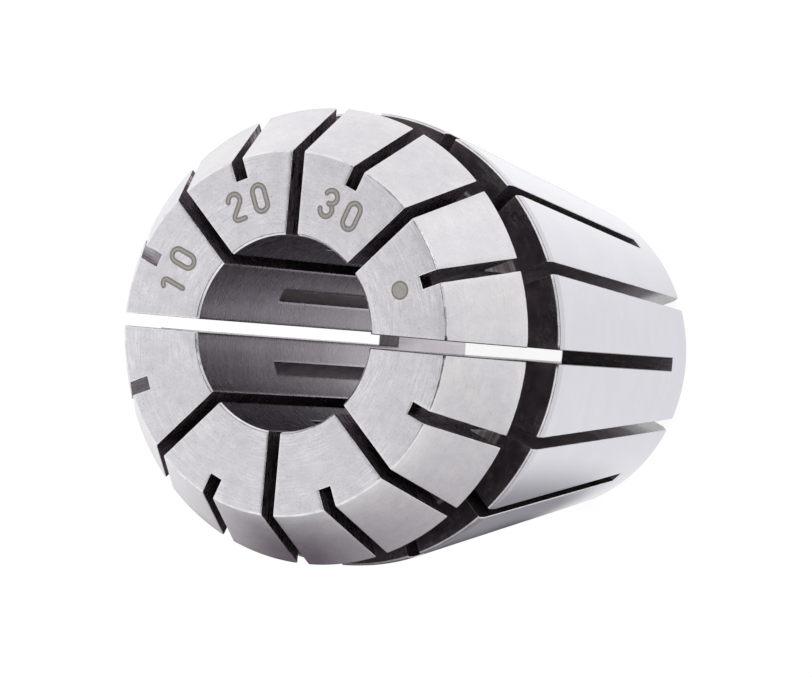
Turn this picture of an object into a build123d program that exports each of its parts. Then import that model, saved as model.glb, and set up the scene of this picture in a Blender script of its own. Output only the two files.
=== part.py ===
"""Spring collet of the ER kind, size 25, for shanks of 10 to 11 mm. Millimetres.

One piece of spring steel. The origin is the centre of the small rear end, and +Z runs along the axis to the
front face, which stands uppermost. Depths are counted from the front face towards the rear end.
"""
from build123d import *
from math import copysign, hypot, radians, sqrt, tan
import os

# Sleeve
LENGTH = 34.0                    # front face to rear end
BODY_DIAMETER = 26.0             # at the wide ends of the nut cone and of the holding taper
BORE_DIAMETER = 11.0
NUT_CONE_LENGTH = 4.78
NUT_CONE_ANGLE = 30.0            # half angle of the short cone that the nut presses on
HOLDING_TAPER_ANGLE = 8.0        # half angle of the long taper that sits in the holder
BORE_MOUTH_CHAMFER = 0.12
BORE_REAR_CHAMFER = 0.35
REAR_EDGE_CHAMFER = 0.5

# Groove that the nut's eccentric ring snaps into, and the land behind it
GROOVE_END_DEPTH = 8.65
GROOVE_DIAMETER = 21.4
GROOVE_CORNER_RADIUS = 0.3
LAND_CHAMFER = 0.1
LAND_END_DEPTH = 9.35            # a short cylindrical land, then the holding taper

# Saw slots: half are cut from the front face, and half from the rear end, midway between the others
SLOTS_PER_END = 8
SLOT_WIDTH = 0.75
SAW_RADIUS = 31.5
FRONT_CUT_BORE_DEPTH = 24.6      # a cut from the front ends here on the bore,
FRONT_CUT_TAPER_DEPTH = 30.6     # and further back on the taper
REAR_CUT_BORE_DEPTH = 8.75       # a cut from the rear ends here on the bore,
REAR_CUT_FACE_RADIUS = 9.06      # and its run-out leaves through the front face at this radius

# Worked out from the above
body_radius = BODY_DIAMETER / 2
bore_radius = BORE_DIAMETER / 2
groove_radius = GROOVE_DIAMETER / 2
face_radius = body_radius - NUT_CONE_LENGTH * tan(radians(NUT_CONE_ANGLE))
slot_pitch = 360.0 / SLOTS_PER_END


def taper_radius(depth):
    """Radius of the holding taper at a depth."""
    return body_radius - (depth - LAND_END_DEPTH) * tan(radians(HOLDING_TAPER_ANGLE))


def turned_sleeve():
    """The sleeve before it is slotted, revolved from its half section."""
    rear_edge_depth = LENGTH - REAR_EDGE_CHAMFER
    rear_edge_radius = taper_radius(rear_edge_depth)
    outline = [
        (bore_radius + BORE_MOUTH_CHAMFER, 0.0),
        (face_radius, 0.0),
        (body_radius, NUT_CONE_LENGTH),
        (groove_radius, NUT_CONE_LENGTH),
        (groove_radius, GROOVE_END_DEPTH),
        (body_radius - LAND_CHAMFER, GROOVE_END_DEPTH),
        (body_radius, GROOVE_END_DEPTH + LAND_CHAMFER),
        (body_radius, LAND_END_DEPTH),
        (rear_edge_radius, rear_edge_depth),
        (rear_edge_radius - REAR_EDGE_CHAMFER, LENGTH),
        (bore_radius + BORE_REAR_CHAMFER, LENGTH),
        (bore_radius, LENGTH - BORE_REAR_CHAMFER),
        (bore_radius, BORE_MOUTH_CHAMFER),
    ]
    points = [(radius, 0, LENGTH - depth) for radius, depth in outline]
    section = make_face(Polyline(points, close=True))
    groove_corners = section.vertices().filter_by(lambda corner: abs(corner.X - groove_radius) < 1e-6)
    return revolve(fillet(groove_corners, GROOVE_CORNER_RADIUS), Axis.Z)


def saw_centre(bore_end, outer_end):
    """Centre (radius, depth) of a saw outside the sleeve whose rim cuts through two such points."""
    across = outer_end[0] - bore_end[0]
    along = outer_end[1] - bore_end[1]
    chord = hypot(across, along)
    stand_off = sqrt(SAW_RADIUS ** 2 - (chord / 2) ** 2) / chord
    radius = (bore_end[0] + outer_end[0]) / 2 + abs(along) * stand_off
    depth = (bore_end[1] + outer_end[1]) / 2 - across * copysign(stand_off, along)
    return radius, depth


def saw_path(centre, entry_depth):
    """What the saw sweeps in the +X half plane as it is fed along the axis, from entry_depth to its centre."""
    radius, depth = centre
    blade = Pos(radius, LENGTH - depth) * Circle(SAW_RADIUS)
    feed = Pos(radius, LENGTH - (depth + entry_depth) / 2) * Rectangle(2 * SAW_RADIUS, abs(depth - entry_depth))
    return extrude(Plane.XZ * (blade + feed), SLOT_WIDTH / 2, both=True)


def slots():
    """All saw cuts, the front set from angle 0 and the rear set half a pitch on."""
    front_centre = saw_centre(
        (bore_radius, FRONT_CUT_BORE_DEPTH),
        (taper_radius(FRONT_CUT_TAPER_DEPTH), FRONT_CUT_TAPER_DEPTH),
    )
    rear_centre = saw_centre(
        (bore_radius, REAR_CUT_BORE_DEPTH),
        (REAR_CUT_FACE_RADIUS, 0.0),
    )
    front_cut = saw_path(front_centre, entry_depth=-1.0)
    rear_cut = saw_path(rear_centre, entry_depth=LENGTH + 1.0)
    cuts = []
    for index in range(SLOTS_PER_END):
        cuts.append(Rot(Z=index * slot_pitch) * front_cut)
        cuts.append(Rot(Z=(index + 0.5) * slot_pitch) * rear_cut)
    return cuts


def collet():
    """The finished collet: the turned sleeve with its interleaved slots."""
    return turned_sleeve() - slots()


os.makedirs("parts", exist_ok=True)
export_step(collet(), "parts/collet.step")
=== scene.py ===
"""Looks of a slotted spring collet: its finely finished mesh, its ground and blackened finishes, the marks
on its face, and a plain studio round it. Lengths are millimetres, and become metres where an object is made.
"""
from dataclasses import dataclass
from functools import reduce
from math import atan2, ceil, copysign, cos, degrees, hypot, pi, radians, sin, sqrt, tan

import bmesh
import bpy
from mathutils import Matrix, Quaternion, Vector


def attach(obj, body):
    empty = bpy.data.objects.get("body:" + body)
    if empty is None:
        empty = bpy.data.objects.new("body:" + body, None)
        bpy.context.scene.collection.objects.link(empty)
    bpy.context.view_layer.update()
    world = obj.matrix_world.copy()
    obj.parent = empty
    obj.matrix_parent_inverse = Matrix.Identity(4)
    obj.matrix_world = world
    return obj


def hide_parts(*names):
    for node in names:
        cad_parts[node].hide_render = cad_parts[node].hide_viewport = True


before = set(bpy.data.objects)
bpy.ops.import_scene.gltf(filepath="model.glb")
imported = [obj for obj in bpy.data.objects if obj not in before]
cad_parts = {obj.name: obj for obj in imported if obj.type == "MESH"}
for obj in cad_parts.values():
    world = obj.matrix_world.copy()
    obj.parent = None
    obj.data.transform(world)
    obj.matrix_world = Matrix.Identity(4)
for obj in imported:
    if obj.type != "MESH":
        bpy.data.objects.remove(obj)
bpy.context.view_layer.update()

MM = 0.001

# The turned sleeve, as in the solid
LENGTH = 34.0
BODY_RADIUS = 13.0
BORE_RADIUS = 5.5
NUT_CONE_LENGTH = 4.78
NUT_CONE_ANGLE = radians(30)
HOLDING_TAPER_ANGLE = radians(8)
BORE_MOUTH_CHAMFER = 0.12
BORE_REAR_CHAMFER = 0.35
REAR_EDGE_CHAMFER = 0.5
GROOVE_END_DEPTH = 8.65
GROOVE_RADIUS = 10.7
GROOVE_CORNER_RADIUS = 0.3
LAND_CHAMFER = 0.1
LAND_END_DEPTH = 9.35
FACE_RADIUS = BODY_RADIUS - NUT_CONE_LENGTH * tan(NUT_CONE_ANGLE)

# The saw slots, as in the solid
SLOTS_PER_END = 8
HALF_SLOT = 0.375
SAW_RADIUS = 31.5
FRONT_CUT_BORE_DEPTH = 24.6
FRONT_CUT_TAPER_DEPTH = 30.6
REAR_CUT_BORE_DEPTH = 8.75
REAR_CUT_FACE_RADIUS = 9.06
HALF_PITCH = pi / SLOTS_PER_END      # from the middle of a front slot to the middle of the next rear slot

# What the finished mesh adds: broken edges, and a face a hair low, so that its marks stay in the solid's box
FACE_DEPTH = 0.012
EDGE_BREAK = 0.055
EDGE_STEPS = 3
ARC_STEPS = 5
RUN_OUT_STEPS = 24
COLUMNS = 14                         # of quads across the metal between two slots
WEB_COLUMNS = 2                      # of quads across half a slot
STATION_STEP = 1.0
END_STEP = 0.15                      # from a slot's end to the mesh rows before and after it
ON_RUN = 0.001                       # a point this near to a run lies on it
AT_SLOT_END = 0.002                  # a station this near to the saw's rim is the slot's end
SAME_PLACE = 1e-4                    # corners this near to each other become one
NO_LENGTH = 1e-5                     # an edge this short is taken out
SHARP_ANGLE = radians(40)

# Marks burnt into the face. Strokes overlap, so each has its top a layer lower than the one before.
MARK_RADIUS = 7.7
MARK_PITCH = 1.62
MARK_STROKE = 0.32
MARK_DOT = 1.05
MARK_TOP = LENGTH - 0.003
MARK_LAYER = 0.001
MARK_FOOT = LENGTH - 3 * FACE_DEPTH
BOWL_RADIUS = 0.38                   # of a digit's round parts
BOWL_STEPS = 16
DIGIT_TOP = 2 * BOWL_RADIUS          # from the middle of a digit to its top, and to its foot
ACROSS_STROKE = (-1, -0.8, -0.6, -0.4, 0, 0.4, 0.6, 0.8, 1)
ALONG_CAP = (0.25, 0.5, 0.7, 0.85, 0.95, 0.995)


# ---------------------------------------------------------------- outline of the sleeve

@dataclass
class Corner:
    """A corner of the half section, with the finish of its arc and of the run that follows."""
    radius: float
    depth: float
    rounding: float
    arc_finish: str
    run_finish: str


@dataclass
class Station:
    """A point of the sleeve's half section. finish is that of the run which starts here."""
    radius: float
    depth: float
    finish: str
    out_radius: float = 0.0          # unit normal, out of the metal
    out_depth: float = 0.0


def taper_radius(depth):
    return BODY_RADIUS - (depth - LAND_END_DEPTH) * tan(HOLDING_TAPER_ANGLE)


def section_corners():
    """The corners of the half section, from the bore mouth outwards and round."""
    rear_edge_depth = LENGTH - REAR_EDGE_CHAMFER
    rear_edge_radius = taper_radius(rear_edge_depth)
    return [
        Corner(BORE_RADIUS + BORE_MOUTH_CHAMFER, FACE_DEPTH, 0.06, "shade_line", "face"),
        Corner(FACE_RADIUS, FACE_DEPTH, 0.17, "edge", "cone"),
        Corner(BODY_RADIUS, NUT_CONE_LENGTH, 0.08, "edge", "groove"),
        Corner(GROOVE_RADIUS, NUT_CONE_LENGTH, GROOVE_CORNER_RADIUS, "groove", "groove"),
        Corner(GROOVE_RADIUS, GROOVE_END_DEPTH, GROOVE_CORNER_RADIUS, "groove", "groove"),
        Corner(BODY_RADIUS - LAND_CHAMFER, GROOVE_END_DEPTH, 0.04, "edge", "edge"),
        Corner(BODY_RADIUS, GROOVE_END_DEPTH + LAND_CHAMFER, 0.08, "shade_line", "land"),
        Corner(BODY_RADIUS, LAND_END_DEPTH, 1.0, "land", "taper"),
        Corner(rear_edge_radius, rear_edge_depth, 0.15, "edge", "taper"),
        Corner(rear_edge_radius - REAR_EDGE_CHAMFER, LENGTH, 0.08, "edge", "face"),
        Corner(BORE_RADIUS + BORE_REAR_CHAMFER, LENGTH, 0.08, "edge", "bore"),
        Corner(BORE_RADIUS, LENGTH - BORE_REAR_CHAMFER, 0.08, "bore", "bore"),
        Corner(BORE_RADIUS, BORE_MOUTH_CHAMFER, 0.06, "edge", "edge"),
    ]


def with_neighbours(ring):
    """(before, item, after) for each item of a closed ring."""
    return zip(ring[-1:] + ring[:-1], ring, ring[1:] + ring[:1])


def rounded_corner(before, corner, after, radius):
    """Points of the arc that rounds a corner, from the side of before to that of after."""
    back = (before - corner).normalized()
    ahead = (after - corner).normalized()
    half = back.angle(ahead) / 2
    centre = corner + (back + ahead).normalized() * radius / sin(half)
    start = corner + back * radius / tan(half) - centre
    turn = copysign(pi - 2 * half, ahead.cross(back))
    arc = []
    for step in range(ARC_STEPS + 1):
        angle = turn * step / ARC_STEPS
        arc.append(centre + Vector((
            start.x * cos(angle) - start.y * sin(angle),
            start.x * sin(angle) + start.y * cos(angle),
        )))
    return arc


def divided(start, end, ends_of_cuts):
    """Points along a straight run, without its ends: even steps, and the places where a slot ends on it."""
    run = end - start
    length = run.length
    count = ceil(length / STATION_STEP)
    places = {length * step / count for step in range(1, count)}
    for point in ends_of_cuts:
        along = (point - start).dot(run) / length
        aside = abs((point - start).cross(run)) / length
        if aside < ON_RUN and 0 < along < length:
            near = {place for place in places if abs(place - along) < 2 * END_STEP}
            places = places - near | {along - END_STEP, along, along + END_STEP}
    return [start + run * (place / length) for place in sorted(places)]


def section_stations(ends_of_cuts):
    """The whole half section as stations, with their normals."""
    corners = section_corners()
    points = [Vector((corner.radius, corner.depth)) for corner in corners]
    threes = with_neighbours(points)
    arcs = [rounded_corner(*three, corner.rounding) for three, corner in zip(threes, corners)]
    stations = []
    for corner, arc, next_arc in zip(corners, arcs, arcs[1:] + arcs[:1]):
        run = [arc[-1], *divided(arc[-1], next_arc[0], ends_of_cuts)]
        stations += [Station(point.x, point.y, corner.arc_finish) for point in arc[:-1]]
        stations += [Station(point.x, point.y, corner.run_finish) for point in run]
    for before, station, after in with_neighbours(stations):
        along = Vector((after.radius - before.radius, after.depth - before.depth)).normalized()
        station.out_radius = along.y
        station.out_depth = -along.x
    return stations


# ---------------------------------------------------------------- saw cuts

class Cut:
    """One saw cut in its own middle plane. It is fed from feed_depth to the saw's last centre."""

    def __init__(self, bore_end, outer_end, feed_depth):
        across = outer_end.x - bore_end.x
        along = outer_end.y - bore_end.y
        chord = hypot(across, along)
        stand_off = sqrt(SAW_RADIUS ** 2 - (chord / 2) ** 2) / chord
        self.radius = (bore_end.x + outer_end.x) / 2 + abs(along) * stand_off
        self.depth = (bore_end.y + outer_end.y) / 2 - across * copysign(stand_off, along)
        self.bore_end = bore_end
        self.outer_end = outer_end
        self.feed_side = copysign(1, feed_depth - self.depth)

    def openness(self, radius, depth):
        """How far a point of the middle plane is inside the cut, negative where it is in metal."""
        if (depth - self.depth) * self.feed_side > 0:
            return SAW_RADIUS - abs(radius - self.radius)
        return SAW_RADIUS - hypot(radius - self.radius, depth - self.depth)

    def run_out(self):
        """Points of the curved bottom of the cut, from its end on the bore to its outer end."""
        first = atan2(self.bore_end.y - self.depth, self.bore_end.x - self.radius)
        last = atan2(self.outer_end.y - self.depth, self.outer_end.x - self.radius)
        turn = (last - first + pi) % (2 * pi) - pi
        points = []
        for step in range(RUN_OUT_STEPS + 1):
            angle = first + turn * step / RUN_OUT_STEPS
            radius = self.radius + SAW_RADIUS * cos(angle)
            depth = self.depth + SAW_RADIUS * sin(angle)
            points.append(Vector((radius, depth)))
        return points


FRONT_CUT = Cut(
    Vector((BORE_RADIUS, FRONT_CUT_BORE_DEPTH)),
    Vector((taper_radius(FRONT_CUT_TAPER_DEPTH), FRONT_CUT_TAPER_DEPTH)),
    feed_depth=0.0,
)
REAR_CUT = Cut(
    Vector((BORE_RADIUS, REAR_CUT_BORE_DEPTH)),
    Vector((REAR_CUT_FACE_RADIUS, FACE_DEPTH)),
    feed_depth=LENGTH,
)


# ---------------------------------------------------------------- finished mesh

class Sector:
    """The metal between the middle planes of a front slot and of the next rear slot, as faces with their
    finish. A side is one of those planes: side 0 is the front slot's, at angle 0, and side 1 the other."""

    def __init__(self):
        ends = [FRONT_CUT.bore_end, FRONT_CUT.outer_end, REAR_CUT.bore_end, REAR_CUT.outer_end]
        self.cuts = (FRONT_CUT, REAR_CUT)
        self.stations = section_stations(ends)
        self.faces = []              # (corners, finish)
        self.add_turned_faces()
        for side in (0, 1):
            self.add_web_faces(side)
            self.add_slot_faces(side)

    def state(self, side, station):
        """1 where a side's slot is open at a station, 0 at the slot's end, and -1 where metal is whole."""
        openness = self.cuts[side].openness(station.radius, station.depth)
        return 0 if abs(openness) < AT_SLOT_END else copysign(1, openness)

    def place(self, side, radius, depth, lateral):
        """The point at a radius and depth that lies this far from a side's middle plane."""
        angle = atan2(lateral, sqrt(radius ** 2 - lateral ** 2))
        if side:
            angle = HALF_PITCH - angle
        return (radius * cos(angle), radius * sin(angle), LENGTH - depth)

    def edge_rows(self, side, station):
        """(radius, depth, lateral) across a slot's broken edge, from the turned surface to the slot's wall.
        At the slot's end the edge turns the corner, so there its corners lie past the end. In whole metal
        there is no edge, and they fall together."""
        state = self.state(side, station)
        size = EDGE_BREAK if state >= 0 else 0.0
        past = self.way_past_end(side, station) if state == 0 else Vector((0, 0))
        rows = []
        for step in range(EDGE_STEPS + 1):
            angle = pi / 2 * step / EDGE_STEPS
            inset = size * (1 - cos(angle))
            spread = size * (1 - sin(angle))
            radius = station.radius - inset * station.out_radius + spread * past.x
            depth = station.depth - inset * station.out_depth + spread * past.y
            rows.append((radius, depth, HALF_SLOT + spread))
        return rows

    def way_past_end(self, side, station):
        """Unit vector along the surface, out of a slot's end into whole metal."""
        index = self.stations.index(station)
        after = self.stations[(index + 1) % len(self.stations)]
        way = Vector((after.radius - station.radius, after.depth - station.depth)).normalized()
        return -way if self.state(side, after) > 0 else way

    def row(self, station):
        """Corners across the sector at a station: broken edge, surface and broken edge."""
        front = [self.place(0, *corner) for corner in self.edge_rows(0, station)[::-1]]
        rear = [self.place(1, *corner) for corner in self.edge_rows(1, station)]
        first = atan2(front[-1][1], front[-1][0])
        last = atan2(rear[0][1], rear[0][0])
        middle = []
        for column in range(1, COLUMNS):
            angle = first + (last - first) * column / COLUMNS
            middle.append((station.radius * cos(angle), station.radius * sin(angle), LENGTH - station.depth))
        return front + middle + rear

    def web_row(self, side, radius, depth, reach):
        """Corners from a slot's middle plane out to a reach from it."""
        laterals = [reach * step / WEB_COLUMNS for step in range(WEB_COLUMNS + 1)]
        return [self.place(side, radius, depth, lateral) for lateral in laterals]

    def bottom_row(self, side, point):
        """Corners of a slot's curved bottom, from the slot's middle plane to its wall."""
        laterals = [HALF_SLOT * step / WEB_COLUMNS for step in range(WEB_COLUMNS + 1)]
        return [self.place(side, hypot(point.x, lateral), point.y, lateral) for lateral in laterals]

    def mouth(self, side):
        """The stations along a slot's open mouth, from one of its ends to the other."""
        states = [self.state(side, station) for station in self.stations]
        after = states[1:] + states[:1]
        first = next(index for index in range(len(states)) if states[index] == 0 and after[index] > 0)
        last = (states[first + 1:] + states[:first]).index(0) + 1
        return (self.stations[first:] + self.stations[:first])[:last + 1]

    def add_strip(self, rows, finish):
        """Quads between rows of corners."""
        for here, after in zip(rows, rows[1:]):
            for step in range(len(here) - 1):
                self.faces.append(((here[step], here[step + 1], after[step + 1], after[step]), finish))

    def add_turned_faces(self):
        """The turned surface between the slots, with the broken edges beside an open slot."""
        rows = [self.row(station) for station in self.stations]
        columns = len(rows[0]) - 1
        for index, station in enumerate(self.stations):
            before = self.stations[index - 1]
            edge_finish = before.finish if before.finish in ("groove", "bore") else "edge"
            for column in range(columns):
                side = 0 if column < EDGE_STEPS else 1
                on_edge = column < EDGE_STEPS or column >= columns - EDGE_STEPS
                if on_edge and min(self.state(side, before), self.state(side, station)) < 0:
                    continue
                pair = [rows[index - 1][column:column + 2], rows[index][column:column + 2]]
                self.add_strip(pair, edge_finish if on_edge else before.finish)

    def add_web_faces(self, side):
        """The turned surface over a slot's middle plane, past the slot's ends."""
        for index, station in enumerate(self.stations):
            before = self.stations[index - 1]
            if self.state(side, before) > 0 or self.state(side, station) > 0:
                continue
            rows = [self.web_row(side, *self.edge_rows(side, end)[0]) for end in (before, station)]
            self.add_strip(rows, before.finish)

    def add_slot_faces(self, side):
        """The curved bottom of a slot with its two broken ends, and its flat wall."""
        mouth = self.mouth(side)
        bore, outer = sorted((mouth[0], mouth[-1]), key=lambda end: end.radius)
        bore_rows = [self.web_row(side, *corner) for corner in self.edge_rows(side, bore)]
        outer_rows = [self.web_row(side, *corner) for corner in self.edge_rows(side, outer)]
        bottom = [self.bottom_row(side, point) for point in self.cuts[side].run_out()[1:-1]]
        self.add_strip(bore_rows, "bore")
        self.add_strip(outer_rows, "edge")
        self.add_strip([bore_rows[-1], *bottom, outer_rows[-1]], "run_out")
        wall = [self.place(side, *self.edge_rows(side, station)[-1]) for station in mouth]
        foot = [row[-1] for row in bottom]
        wall += foot if outer is mouth[0] else foot[::-1]
        self.faces.append((tuple(wall), "slot"))


FINISHES = ("face", "cone", "land", "taper", "bore", "groove", "run_out", "slot", "edge", "shade_line")


def add_faces(shape, faces, place, mirror):
    """Adds faces to a shape, moved by place. A mirror of -1 turns the order of their corners round."""
    vertices = {}
    for corners, finish in faces:
        ring = []
        for corner in dict.fromkeys(corners):
            if corner not in vertices:
                vertices[corner] = shape.verts.new(place @ Vector(corner))
            ring.append(vertices[corner])
        if len(ring) > 2:
            shape.faces.new(ring[::mirror]).material_index = FINISHES.index(finish)


def finished_mesh(name, shape):
    mesh = bpy.data.meshes.new(name)
    shape.to_mesh(mesh)
    shape.free()
    return mesh


def collet_mesh():
    """The sector and its mirror image, turned to each slot in turn and joined into one closed mesh."""
    sector = Sector()
    shape = bmesh.new()
    for turn in range(SLOTS_PER_END):
        for mirror in (1, -1):
            place = Matrix.Rotation(turn * 2 * HALF_PITCH, 4, "Z") @ Matrix.Diagonal((1, mirror, 1, 1))
            add_faces(shape, sector.faces, place, mirror)
    bmesh.ops.remove_doubles(shape, verts=shape.verts, dist=SAME_PLACE)
    bmesh.ops.dissolve_degenerate(shape, edges=shape.edges, dist=NO_LENGTH)
    bmesh.ops.recalc_face_normals(shape, faces=shape.faces)
    bmesh.ops.scale(shape, vec=(MM, MM, MM), verts=shape.verts)
    return finished_mesh("collet_body", shape)


def link(name, data):
    thing = bpy.data.objects.new(name, data)
    bpy.context.scene.collection.objects.link(thing)
    return thing


def make_collet(materials):
    mesh = collet_mesh()
    for finish in FINISHES:
        mesh.materials.append(materials[finish])
    mesh.shade_smooth()
    mesh.set_sharp_from_angle(angle=SHARP_ANGLE)
    body = link("collet_body", mesh)
    weights = body.modifiers.new("weighted_normals", "WEIGHTED_NORMAL")
    weights.mode = "FACE_AREA"
    weights.keep_sharp = True
    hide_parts("collet")
    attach(body, "root")


# ---------------------------------------------------------------- marks on the face

def bent(corners):
    """A path through (x, y, rounding) corners, where a rounding of 0 is a plain point."""
    points = [Vector(corner[:2]) for corner in corners]
    path = []
    for (before, point, after), (_, _, rounding) in zip(with_neighbours(points), corners):
        path += rounded_corner(before, point, after, rounding) if rounding else [point]
    return path


def bowl(centre_y, first, last):
    """A path along a bowl about (0, centre_y), between two angles in degrees."""
    angles = [radians(first + (last - first) * step / BOWL_STEPS) for step in range(BOWL_STEPS + 1)]
    return [Vector((BOWL_RADIUS * cos(angle), centre_y + BOWL_RADIUS * sin(angle))) for angle in angles]


def glyph_strokes(character):
    """The strokes of a plain digit, or of a dot, as (path, whether it is closed, width)."""
    if character == "0":
        half = BOWL_RADIUS
        box = ((-half, DIGIT_TOP), (half, DIGIT_TOP), (half, -DIGIT_TOP), (-half, -DIGIT_TOP))
        return [(bent([(x, y, BOWL_RADIUS) for x, y in box]), True, MARK_STROKE)]
    if character == "1":
        stem = bent([(-0.30, 0.42, 0), (0.12, DIGIT_TOP, 0.2), (0.12, -DIGIT_TOP, 0)])
        return [(stem, False, MARK_STROKE)]
    if character == "2":
        top = bowl(BOWL_RADIUS, 175, -30)
        foot = bent([(*top[-1], 0), (-0.44, -DIGIT_TOP, 0.2), (0.42, -DIGIT_TOP, 0)])
        return [(top + foot[1:], False, MARK_STROKE)]
    if character == "3":
        bowls = (bowl(BOWL_RADIUS, 165, -90), bowl(-BOWL_RADIUS, 90, -165))
        return [(path, False, MARK_STROKE) for path in bowls]
    short = [Vector((-0.01, 0)), Vector((0.01, 0))]
    return [(short, False, MARK_DOT)]


def left_of(way):
    return Vector((-way.y, way.x))


def cap_rows(end, way, out, half):
    """Rows of (point, distance in from the rim) over a round cap. way is the unit vector off the stroke's
    end, out is the one along the rows, and half is half of the stroke's width."""
    rows = []
    for reach in ALONG_CAP:
        room = sqrt(1 - reach ** 2)
        places = [way * reach + out * room * across for across in ACROSS_STROKE]
        rows.append([(end + place * half, half * (1 - place.length)) for place in places])
    return rows


def stroke_rows(path, closed, width):
    """Rows of (point, distance in from the rim) over a stroke, with a round cap at each open end."""
    half = width / 2
    rows = []
    for index, point in enumerate(path):
        before = path[index - 1] if closed or index else point
        after = path[(index + 1) % len(path)] if closed or index < len(path) - 1 else point
        out = left_of((after - before).normalized())
        rows.append([(point + out * half * across, half * (1 - abs(across))) for across in ACROSS_STROKE])
    if closed:
        return rows
    first = (path[1] - path[0]).normalized()
    last = (path[-1] - path[-2]).normalized()
    first_cap = cap_rows(path[0], -first, left_of(first), half)
    last_cap = cap_rows(path[-1], last, left_of(last), half)
    return first_cap[::-1] + rows + last_cap


def add_stroke(shape, rim, rows, closed, top):
    """A thin closed strip of metal over the rows, sunk into the face."""
    rings = []
    for row in rows:
        ring = []
        for point, inward in row:
            ring.append(shape.verts.new((point.x, point.y, top)))
            ring[-1][rim] = inward
        for point, _ in (row[-1], row[0]):
            ring.append(shape.verts.new((point.x, point.y, MARK_FOOT)))
        rings.append(ring)
    pairs = list(zip(rings, rings[1:]))
    if closed:
        pairs.append((rings[-1], rings[0]))
    else:
        shape.faces.new(rings[0])
        shape.faces.new(rings[-1][::-1])
    for here, after in pairs:
        for corners in zip(here, here[1:] + here[:1], after[1:] + after[:1], after):
            shape.faces.new(corners)


def make_mark(name, text, bearing, materials):
    """Text on the face, centred on a bearing, with its tops outwards."""
    shape = bmesh.new()
    rim = shape.verts.layers.float.new("rim")
    top = MARK_TOP
    for index, character in enumerate(text):
        first = len(shape.verts)
        for path, closed, width in glyph_strokes(character):
            add_stroke(shape, rim, stroke_rows(path, closed, width), closed, top)
            top -= MARK_LAYER
        shape.verts.ensure_lookup_table()
        shift = (index - (len(text) - 1) / 2) * MARK_PITCH
        bmesh.ops.translate(shape, vec=(shift, 0, 0), verts=shape.verts[first:])
    bmesh.ops.recalc_face_normals(shape, faces=shape.faces)
    place = Matrix.Rotation(bearing - pi / 2, 4, "Z") @ Matrix.Translation((0, MARK_RADIUS, 0))
    bmesh.ops.transform(shape, matrix=Matrix.Scale(MM, 4) @ place, verts=shape.verts)
    mesh = finished_mesh(name, shape)
    mesh.materials.append(materials["mark"])
    mark = link(name, mesh)
    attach(mark, "root")


def make_marks(materials):
    """Plain numbers on three of the front segments, and a dot on the next."""
    make_mark("mark_10", "10", radians(157.5), materials)
    make_mark("mark_20", "20", radians(112.5), materials)
    make_mark("mark_30", "30", radians(67.5), materials)
    make_mark("mark_dot", ".", radians(22.5), materials)


# ---------------------------------------------------------------- shader nodes

def wire(tree, target, inputs):
    """Gives each of these inputs of a node its value, or links it to the socket that feeds it."""
    for name, value in inputs.items():
        if isinstance(value, bpy.types.NodeSocket):
            tree.links.new(value, target.inputs[name])
        else:
            target.inputs[name].default_value = value


def node(tree, kind, inputs=None, **settings):
    made = tree.nodes.new("ShaderNode" + kind)
    for name, value in settings.items():
        setattr(made, name, value)
    wire(tree, made, inputs or {})
    return made


def calculate(tree, operation, first, second=0.0):
    return node(tree, "Math", {0: first, 1: second}, operation=operation).outputs[0]


def total(tree, *terms):
    return reduce(lambda first, second: calculate(tree, "ADD", first, second), terms)


def product(tree, *factors):
    return reduce(lambda first, second: calculate(tree, "MULTIPLY", first, second), factors)


def scaled(tree, colour, tone):
    return node(tree, "VectorMath", {0: colour, "Scale": tone}, operation="SCALE").outputs[0]


@dataclass
class Places:
    """Where the shaded point is, in millimetres, as sockets. polar is (radius, height, angle)."""
    point: bpy.types.NodeSocket
    polar: bpy.types.NodeSocket
    x: bpy.types.NodeSocket
    y: bpy.types.NodeSocket
    height: bpy.types.NodeSocket
    radius: bpy.types.NodeSocket


def surface_places(tree):
    metres = node(tree, "TexCoord").outputs["Object"]
    point = node(tree, "VectorMath", {0: metres, 1: (1 / MM,) * 3}, operation="MULTIPLY").outputs[0]
    x, y, height = node(tree, "SeparateXYZ", {0: point}).outputs
    radius = calculate(tree, "SQRT", total(tree, product(tree, x, x), product(tree, y, y)))
    angle = calculate(tree, "ARCTAN2", y, x)
    polar = node(tree, "CombineXYZ", {0: radius, 1: height, 2: angle}).outputs[0]
    return Places(point, polar, x, y, height, radius)


def noise(tree, place, cells, detail=3.0, rough=0.5):
    """Noise of mean 0.5. cells is how many of them a unit of place holds, for all directions or for each."""
    cells = cells if isinstance(cells, tuple) else (cells,) * 3
    spread = node(tree, "VectorMath", {0: place, 1: cells}, operation="MULTIPLY").outputs[0]
    inputs = {"Vector": spread, "Scale": 1.0, "Detail": detail, "Roughness": rough}
    return node(tree, "TexNoise", inputs).outputs[0]


def ranged(tree, value, low, high, to_low=0.0, to_high=1.0):
    """value, limited to low..high, carried over to to_low..to_high."""
    return node(tree, "MapRange", {
        "Value": value, "From Min": low, "From Max": high, "To Min": to_low, "To Max": to_high,
    }).outputs[0]


def varied(tree, texture, to_low, to_high):
    """A noise, which seldom leaves 0.3 to 0.7, carried over to to_low..to_high."""
    return ranged(tree, texture, 0.3, 0.7, to_low, to_high)


def mixed(tree, factor, first, second):
    """first where the factor is 0, and second where it is 1. Both are colours, or the sockets of colours."""
    mix = node(tree, "Mix", {"Factor": factor}, data_type="RGBA")
    first, second = [(*colour, 1) if isinstance(colour, tuple) else colour for colour in (first, second)]
    wire(tree, mix, {6: first, 7: second})
    return mix.outputs[2]


def scratches(tree, place, angle, cells, threshold):
    """1 on sparse short straight scratches that lie at an angle in a flat face, and 0 elsewhere."""
    turned = node(tree, "VectorRotate", {"Vector": place, "Angle": angle}, rotation_type="Z_AXIS").outputs[0]
    lines = noise(tree, turned, cells, detail=1.0)
    return ranged(tree, lines, threshold, threshold + 0.05)


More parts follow.
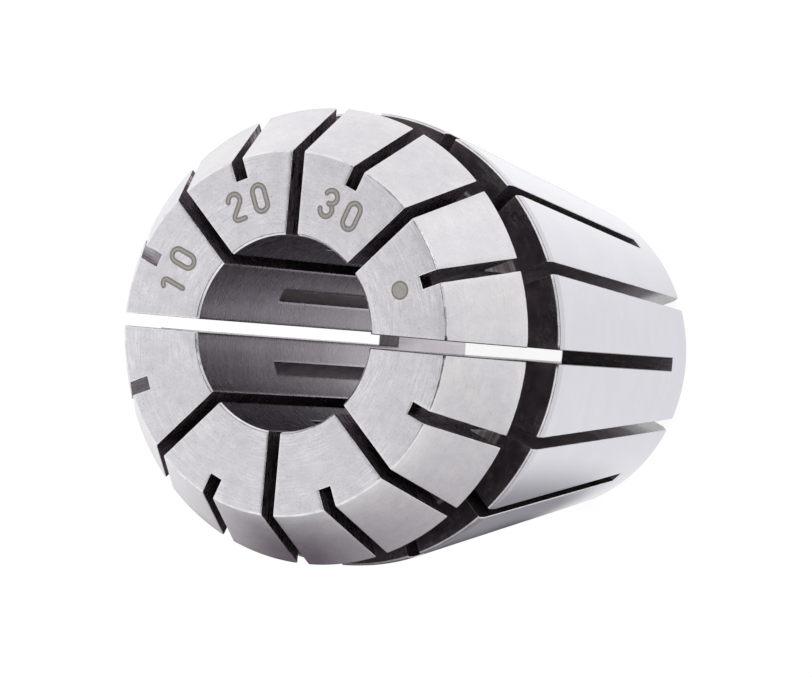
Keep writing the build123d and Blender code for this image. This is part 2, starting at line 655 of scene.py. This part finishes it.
def relief(tree, height, depth):
    """A bump normal from a height of 0 to 1, over a depth in millimetres."""
    return node(tree, "Bump", {"Height": height, "Distance": depth * MM}).outputs[0]


def new_material(name):
    material = bpy.data.materials.new(name)
    material.use_nodes = True
    return material, material.node_tree, material.node_tree.nodes["Principled BSDF"]


# ---------------------------------------------------------------- materials

def ground_steel(name, light, dark, roughness, lay, relief_depth, blotch=0.03, scratch=0.0, pits=0.0):
    """Ground steel: clouds of two close tints, fine marks round the axis, blotches, scratches and pits.
    lay is (strength, cells in a millimetre across the marks, cells in a radian along them)."""
    strength, across, along = lay
    material, tree, shader = new_material(name)
    at = surface_places(tree)
    clouds = noise(tree, at.point, 0.45, detail=4.0, rough=0.6)
    patches = noise(tree, at.point, 1.7, detail=4.0, rough=0.65)
    grain = noise(tree, at.point, 8.0, detail=4.0, rough=0.75)
    marks = noise(tree, at.polar, (across, across, along), detail=4.0, rough=0.65)
    some_hairs = scratches(tree, at.point, radians(25), (0.8, 14.0, 3.0), 0.69)
    other_hairs = scratches(tree, at.point, radians(-62), (1.1, 16.0, 3.0), 0.70)
    hairs = calculate(tree, "MAXIMUM", some_hairs, other_hairs)
    tint = mixed(tree, ranged(tree, clouds, 0.38, 0.62), dark, light)
    tone = total(
        tree,
        product(tree, varied(tree, marks, -strength, strength), ranged(tree, clouds, 0.42, 0.6, 0.2, 1.2)),
        1.0,
        varied(tree, patches, -blotch, blotch),
        varied(tree, grain, -blotch, blotch),
        product(tree, hairs, scratch),
        ranged(tree, grain, 0.28, 0.38, -pits, 0.0),
    )
    height = total(tree, product(tree, marks, 0.5), product(tree, grain, 0.5), product(tree, hairs, -0.3))
    wire(tree, shader, {
        "Base Color": scaled(tree, tint, tone),
        "Metallic": 1.0,
        "Roughness": varied(tree, patches, roughness * 0.9, roughness * 1.15),
        "Normal": relief(tree, height, relief_depth),
    })
    return material


def honed_bore():
    """The bore: darker, oiled steel with honing marks and purplish bands, and painted light towards the rear
    end, where its colour is made lighter.
    """
    material, tree, shader = new_material("honed_bore")
    at = surface_places(tree)
    bands = noise(tree, at.polar, (0.5, 0.35, 0.8))
    marks = noise(tree, at.polar, (2.0, 4.0, 3.0), detail=5.0, rough=0.7)
    fine = noise(tree, at.polar, (2.0, 14.0, 6.0), rough=0.7)
    tint = mixed(tree, ranged(tree, bands, 0.35, 0.65), (0.475, 0.432, 0.475), (0.54, 0.505, 0.555))
    tone = product(
        tree,
        varied(tree, marks, 0.96, 1.04),
        varied(tree, fine, 0.975, 1.025),
        # painted light: the colour is up to 1.22 times lighter towards the rear end
        ranged(tree, at.height, 10.0, 22.0, 1.22, 1.0),
    )
    wire(tree, shader, {
        "Base Color": scaled(tree, tint, tone),
        "Metallic": 1.0,
        "Roughness": varied(tree, marks, 0.25, 0.3),
        "Normal": relief(tree, total(tree, marks, fine), 0.0003),
    })
    return material


def painted_groove_glint(tree, at, level):
    """Painted reflection: how far the bottom of the groove on +X is made light grey, in place of its glint.
    """
    turned = noise(tree, at.polar, (1.0, 4.5, 1.2), rough=0.7)
    return product(
        tree,
        ranged(tree, at.radius, GROOVE_RADIUS + 0.05, GROOVE_RADIUS + 0.01, 0.0, level),
        ranged(tree, at.x, 7.5, 9.0),
        ranged(tree, turned, 0.38, 0.6, 0.35, 1.05),
    )


def black_oxide(name, light, dark, lines, worn, metallic, glare, groove_glint=0.0):
    """Blackened steel with a low sheen, and with worn lines and specks, the faintest towards the rear end.
    lines is the cells of the lines along the radius, the height and the angle, glare is the brightness of
    the reflection at a grazing angle, and groove_glint is the level of painted_groove_glint, a painted
    reflection on the bottom of the groove."""
    material, tree, shader = new_material(name)
    at = surface_places(tree)
    clouds = noise(tree, at.point, 1.1, detail=4.0, rough=0.6)
    grain = noise(tree, at.point, 7.0, rough=0.65)
    streaks = noise(tree, at.polar, lines, detail=4.0, rough=0.7)
    tint = mixed(tree, ranged(tree, clouds, 0.35, 0.68), dark, light)
    if groove_glint:
        # painted reflection: the bottom of the groove on +X turns light grey
        tint = mixed(tree, painted_groove_glint(tree, at, groove_glint), tint, (0.55, 0.52, 0.515))
    specks = product(
        tree,
        ranged(tree, streaks, 0.48, 0.62),
        ranged(tree, grain, 0.40, 0.58),
        ranged(tree, at.height, 16.0, 30.0, worn * 0.12, worn),
    )
    wire(tree, shader, {
        "Base Color": mixed(tree, specks, tint, (0.72, 0.69, 0.70)),
        "Metallic": metallic,
        "Roughness": varied(tree, clouds, 0.34, 0.46),
        "Specular IOR Level": 0.1,
        "Specular Tint": (glare, glare * 0.93, glare * 0.97, 1.0),
        "Normal": relief(tree, total(tree, grain, streaks), 0.012),
    })
    return material


def sawn_wall():
    """The flat walls of the saw cuts: purplish grey steel, streaked near the face, with painted shade that
    darkens the slots on -Y, and painted light that makes them brighter and shinier below a slanting line
    near the rear end."""
    material, tree, shader = new_material("sawn_wall")
    at = surface_places(tree)
    clouds = noise(tree, at.point, 0.8, detail=4.0, rough=0.6)
    specks = noise(tree, at.point, 6.0, rough=0.7)
    marks = noise(tree, at.polar, (7.0, 0.8, 0.5), detail=4.0, rough=0.7)
    rows = noise(tree, at.polar, (0.9, 5.0, 0.5), rough=0.75)
    streaks = product(tree, ranged(tree, at.height, 26.0, 30.0), ranged(tree, rows, 0.36, 0.66, -0.75, 1.0))
    streaked = total(tree, streaks, 1.0)
    # painted shade: the walls in the slots on -Y are darkened by up to half
    painted_shade_minus_y = product(tree, ranged(tree, at.y, -4.8, -6.5, 0.0, 0.5), ranged(tree, at.x, -8.6, -6.8))
    unshaded = calculate(tree, "SUBTRACT", 1.0, painted_shade_minus_y)
    shade = product(tree, unshaded, ranged(tree, specks, 0.35, 0.65, 0.75, 1.25))
    # painted light: below a slanting line near the rear end, the wall turns a lighter grey, more metallic,
    # with a whiter sheen
    painted_rear_light = ranged(tree, total(tree, at.height, product(tree, at.y, 0.22)), 6.3, 5.1)
    tint = mixed(tree, ranged(tree, clouds, 0.35, 0.65), (0.16, 0.13, 0.148), (0.22, 0.183, 0.206))
    tone = product(tree, total(tree, varied(tree, marks, 0.8, 1.18), streaks), shade)
    glare = mixed(tree, painted_rear_light, (0.64, 0.59, 0.63), (1.0, 1.0, 1.0))
    wire(tree, shader, {
        "Base Color": mixed(tree, painted_rear_light, scaled(tree, tint, tone), (0.32, 0.30, 0.32)),
        "Metallic": product(tree, ranged(tree, painted_rear_light, 0.0, 1.0, 0.6, 1.0), streaked),
        "Roughness": varied(tree, clouds, 0.12, 0.2),
        "Specular IOR Level": 0.1,
        "Specular Tint": scaled(tree, glare, product(tree, streaked, shade)),
        "Normal": relief(tree, marks, 0.002),
    })
    return material


def broken_edge(name, light, dark):
    """Edges and chamfers: uneven along their length, and with a painted dark reflection along the slot on
    +X, above the rear end.
    """
    material, tree, shader = new_material(name)
    at = surface_places(tree)
    wear = noise(tree, at.point, 1.6, rough=0.6)
    colour = mixed(tree, ranged(tree, wear, 0.35, 0.6), dark, light)
    # painted reflection: the edges beside the slot on +X are made nearly black
    painted_dark_reflection = product(
        tree,
        ranged(tree, calculate(tree, "ABSOLUTE", at.y), 0.5, 0.7, 0.9, 0.0),
        ranged(tree, at.x, 4.0, 5.5),
        ranged(tree, at.height, 1.5, 3.0),
    )
    wire(tree, shader, {
        "Base Color": mixed(tree, painted_dark_reflection, colour, (0.05, 0.043, 0.048)),
        "Metallic": 1.0,
        "Roughness": varied(tree, wear, 0.2, 0.34),
    })
    return material


def burnt_mark():
    """Marks burnt into the face: dull olive grey, darker in a line along the rim of each stroke."""
    material, tree, shader = new_material("burnt_mark")
    at = surface_places(tree)
    inward = node(tree, "Attribute", attribute_name="rim").outputs["Fac"]
    grain = noise(tree, at.point, 9.0, rough=0.6)
    near_rim = ranged(tree, inward, 0.07, 0.12, 1.0, 0.0)
    at_rim = ranged(tree, inward, 0.0, 0.025, -0.5, 0.0)
    tint = mixed(tree, total(tree, near_rim, at_rim), (0.40, 0.375, 0.355), (0.235, 0.215, 0.20))
    wire(tree, shader, {
        "Base Color": scaled(tree, tint, varied(tree, grain, 0.82, 1.18)),
        "Metallic": 0.7,
        "Roughness": 0.5,
        "Normal": relief(tree, grain, 0.004),
    })
    return material


def make_materials():
    """A material for each finish of the body, and one for the marks."""
    return {
        "face": ground_steel(
            "turned_face", light=(0.755, 0.738, 0.775), dark=(0.695, 0.678, 0.71), roughness=0.36,
            lay=(0.15, 11.0, 5.0), relief_depth=0.012, blotch=0.085, scratch=0.15, pits=0.5,
        ),
        "cone": ground_steel(
            "ground_cone", light=(0.81, 0.792, 0.802), dark=(0.76, 0.743, 0.785), roughness=0.30,
            lay=(0.04, 8.0, 5.0), relief_depth=0.005, blotch=0.045, scratch=0.06, pits=0.2,
        ),
        "land": ground_steel(
            "ground_land", light=(0.71, 0.70, 0.745), dark=(0.67, 0.66, 0.70), roughness=0.2,
            lay=(0.01, 9.0, 4.0), relief_depth=0.001,
        ),
        "taper": ground_steel(
            "ground_taper", light=(0.78, 0.768, 0.84), dark=(0.76, 0.748, 0.815), roughness=0.14,
            lay=(0.012, 4.0, 3.0), relief_depth=0.0006, blotch=0.008,
        ),
        "bore": honed_bore(),
        "groove": black_oxide(
            "groove_black", light=(0.155, 0.128, 0.146), dark=(0.11, 0.09, 0.103),
            lines=(1.0, 9.0, 5.0), worn=0.28, metallic=0.97, glare=1.0, groove_glint=0.9,
        ),
        "run_out": black_oxide(
            "run_out_black", light=(0.078, 0.064, 0.072), dark=(0.052, 0.042, 0.048),
            lines=(1.0, 1.0, 60.0), worn=0.8, metallic=0.5, glare=0.5,
        ),
        "slot": sawn_wall(),
        "edge": broken_edge("broken_edge", light=(0.88, 0.87, 0.89), dark=(0.70, 0.69, 0.71)),
        # painted shade: dark lines on the rounded corners beside the bore mouth's chamfer and the land's
        # chamfer
        "shade_line": broken_edge("painted_shade_line", light=(0.40, 0.38, 0.40), dark=(0.16, 0.15, 0.16)),
        "mark": burnt_mark(),
    }


# ---------------------------------------------------------------- studio

def make_camera():
    """It looks down on the standing collet, and is rolled so that the axis lies across the picture."""
    azimuth = radians(0.717)         # from +X towards +Y
    elevation = radians(62.559)
    roll = radians(-85.660)
    aim = Vector((-0.838, 0.217, 17.434))
    distance = 303.68
    back = Vector((cos(elevation) * cos(azimuth), cos(elevation) * sin(azimuth), sin(elevation)))
    data = bpy.data.cameras.new("camera")
    data.sensor_width = 36.0
    data.lens = 229.10
    data.clip_start = 0.01
    data.clip_end = 10.0
    camera = link("camera", data)
    camera.location = (aim + back * distance) * MM
    camera.rotation_mode = "QUATERNION"
    camera.rotation_quaternion = back.to_track_quat("Z", "Y") @ Quaternion((0, 0, 1), roll)
    bpy.context.scene.camera = camera


def seen_directly(tree):
    """1 for camera, glossy and transmission rays, and 0 for those that light things."""
    path = node(tree, "LightPath")
    seen = calculate(tree, "MAXIMUM", path.outputs["Is Camera Ray"], path.outputs["Is Glossy Ray"])
    return calculate(tree, "MAXIMUM", seen, path.outputs["Is Transmission Ray"])


def set_surface(tree, made):
    """Puts a node in the place of the material's own shader."""
    tree.nodes.remove(tree.nodes["Principled BSDF"])
    tree.links.new(made.outputs[0], tree.nodes["Material Output"].inputs["Surface"])


def make_floor():
    """A white floor. Most of its white is seen and not cast, and the rest takes the light and the shadow."""
    half = 2.0                       # metres
    mesh = bpy.data.meshes.new("floor")
    corners = [(-half, -half, 0), (half, -half, 0), (half, half, 0), (-half, half, 0)]
    mesh.from_pydata(corners, [], [(0, 1, 2, 3)])
    floor = link("floor", mesh)
    material, tree, _ = new_material("floor_white")
    diffuse = node(tree, "BsdfDiffuse", {"Color": (0.12, 0.12, 0.12, 1)})
    glow = node(tree, "Emission", {"Strength": product(tree, seen_directly(tree), 0.92)})
    set_surface(tree, node(tree, "AddShader", {0: diffuse.outputs[0], 1: glow.outputs[0]}))
    mesh.materials.append(material)


def make_world():
    """White where it is seen or reflected, and a little less as a light."""
    world = bpy.data.worlds.new("world")
    bpy.context.scene.world = world
    world.use_nodes = True
    tree = world.node_tree
    strength = ranged(tree, seen_directly(tree), 0.0, 1.0, 0.8, 1.0)
    wire(tree, tree.nodes["Background"], {"Color": (1, 1, 1, 1), "Strength": strength})


def smooth(low, high, value):
    """0 at low, 1 at high, with a smooth rise between them. low may be the greater of the two."""
    part = min(max((value - low) / (high - low), 0.0), 1.0)
    return part * part * (3 - 2 * part)


def steps(span, step):
    """Even steps over a span, with both its ends."""
    return [span[0] + step * index for index in range(round((span[1] - span[0]) / step) + 1)]


def card_material(name, colour):
    """Clear, and this colour as far as the mesh's cover says."""
    material, tree, _ = new_material(name)
    hidden = node(tree, "Attribute", attribute_name="cover").outputs["Fac"]
    clear = node(tree, "BsdfTransparent")
    dark = node(tree, "Emission", {"Color": (*colour, 1)})
    set_surface(tree, node(tree, "MixShader", {0: hidden, 1: clear.outputs[0], 2: dark.outputs[0]}))
    return material


def make_card(name, origin, across, up, span, rise, step, cover, colour):
    """A dark card that only reflections show. It has the span along across and the rise along up, and
    cover(u, v), from 0 to 1, is how much it hides at u across and v up."""
    columns = steps(span, step)
    rows = steps(rise, step)
    places = [(Vector(origin) + Vector(across) * u + Vector(up) * v) * MM for v in rows for u in columns]
    count = len(columns)
    quads = []
    for row in range(len(rows) - 1):
        for first in range(row * count, row * count + count - 1):
            quads.append((first, first + 1, first + count + 1, first + count))
    mesh = bpy.data.meshes.new(name)
    mesh.from_pydata(places, [], quads)
    attribute = mesh.attributes.new("cover", "FLOAT", "POINT")
    attribute.data.foreach_set("value", [cover(u, v) for v in rows for u in columns])
    card = link(name, mesh)
    mesh.materials.append(card_material(name, colour))
    card.visible_camera = False
    card.visible_diffuse = False
    card.visible_shadow = False
    card.visible_transmission = False


def painted_shadow_cover(x, y):
    """Painted shadow: dark beside the foot of the collet towards -Y, with a soft outer edge, and a light
    grey on +X.
    """
    reach = hypot(x, y)
    bearing = degrees(atan2(y, x))
    far_side = smooth(-175, -130, bearing)
    beside = 0.75 * smooth(-43, -72, bearing) + 0.25 * smooth(-85, -115, bearing)
    foot = beside * smooth(9.2, 11.6, reach) * smooth(50, 24, reach)
    contact = smooth(-80, -95, bearing) * smooth(15, 12, reach)
    near_side = smooth(90, 10, bearing) * smooth(-110, -60, bearing)
    grey = 0.17 * smooth(3, 9, x) * near_side * smooth(140, 90, reach)
    return 1 - (1 - foot * far_side) * (1 - contact * far_side) * (1 - grey)


def make_painted_shadow_card():
    """A card of painted shadow, seen only in reflections. It lies on the floor."""
    make_card(
        "painted_shadow_card", origin=(0, 0, 0.1), across=(1, 0, 0), up=(0, 1, 0),
        span=(-60, 140), rise=(-60, 60), step=1.0, cover=painted_shadow_cover, colour=(0.085, 0.073, 0.1),
    )


def painted_head_shadow_cover(x, depth):
    """Painted shadow: dark close beside the lowest part of the nut cone, and lighter to both sides."""
    beside = 1 / (1 + max(x - 1, 0) / 12) / (1 + (max(-1 - x, 0) / 6.5) ** 2)
    beside *= smooth(110, 70, x) * smooth(-40, -25, x)
    return beside * smooth(-2.5, 4.2, depth) * smooth(16, 9, depth)


def make_painted_head_shadow_card():
    """A card of painted shadow, seen only in reflections. It stands just clear of the nut cone on -Y."""
    make_card(
        "painted_head_shadow_card", origin=(0, -13.3, LENGTH), across=(1, 0, 0), up=(0, 0, -1),
        span=(-40, 110), rise=(-3, 17), step=1.0, cover=painted_head_shadow_cover, colour=(0.15, 0.125, 0.15),
    )


def make_bore_shade_card():
    """A card of painted shade. It stands in the bore on -X, for the bore's own reflections."""
    make_card(
        "bore_shade_card", origin=(0, 0, 0), across=(1, 0, 0), up=(0, 0, 1),
        span=(-5.3, -2.5), rise=(0, LENGTH), step=0.2,
        cover=lambda x, height: 0.72 * smooth(-2.65, -3.0, x) * smooth(4, 9, height),
        colour=(0.02, 0.018, 0.02),
    )


def make_camera_card():
    """A wide soft disc before the camera, which doesn't see it."""
    distance = 300.0
    inner = distance * tan(radians(28))
    towards = Vector((0.35, 0.2, 0.915)).normalized()
    across = towards.cross(Vector((0, 0, 1))).normalized()
    make_card(
        "camera_card", origin=towards * distance, across=across, up=across.cross(towards),
        span=(-300, 300), rise=(-300, 300), step=20.0,
        cover=lambda u, v: smooth(distance, inner, hypot(u, v)), colour=(0.1, 0.096, 0.1),
    )


def make_far_card():
    """A pale upright card far off on +X."""
    make_card(
        "far_card", origin=(160, 0, 0), across=(0, 1, 0), up=(0, 0, 1),
        span=(-150, 150), rise=(0, 90), step=10.0,
        cover=lambda y, height: 0.25 * smooth(140, 50, abs(y)) * smooth(90, 50, height),
        colour=(0.2, 0.19, 0.2),
    )


def make_side_card():
    """A pale upright card on +Y."""
    make_card(
        "side_card", origin=(0, 80, 0), across=(1, 0, 0), up=(0, 0, 1),
        span=(-60, 100), rise=(0, 50), step=5.0,
        cover=lambda x, height: 0.13 * smooth(-60, -40, x) * smooth(62, 36, x) * smooth(50, 30, height),
        colour=(0.2, 0.19, 0.2),
    )


def make_key_lamp():
    """One soft round lamp, high up on +X and +Y."""
    place = Vector((0.25, 0.25, 0.5))    # metres
    data = bpy.data.lights.new("key_lamp", "AREA")
    data.shape = "DISK"
    data.size = 0.3
    data.energy = 1.0
    lamp = link("key_lamp", data)
    lamp.location = place
    lamp.rotation_mode = "QUATERNION"
    lamp.rotation_quaternion = place.to_track_quat("Z", "Y")


def make_studio():
    make_camera()
    make_floor()
    make_world()
    make_painted_shadow_card()
    make_painted_head_shadow_card()
    make_bore_shade_card()
    make_camera_card()
    make_far_card()
    make_side_card()
    make_key_lamp()
    bpy.context.scene.view_settings.view_transform = "Standard"


materials = make_materials()
make_collet(materials)
make_marks(materials)
make_studio()
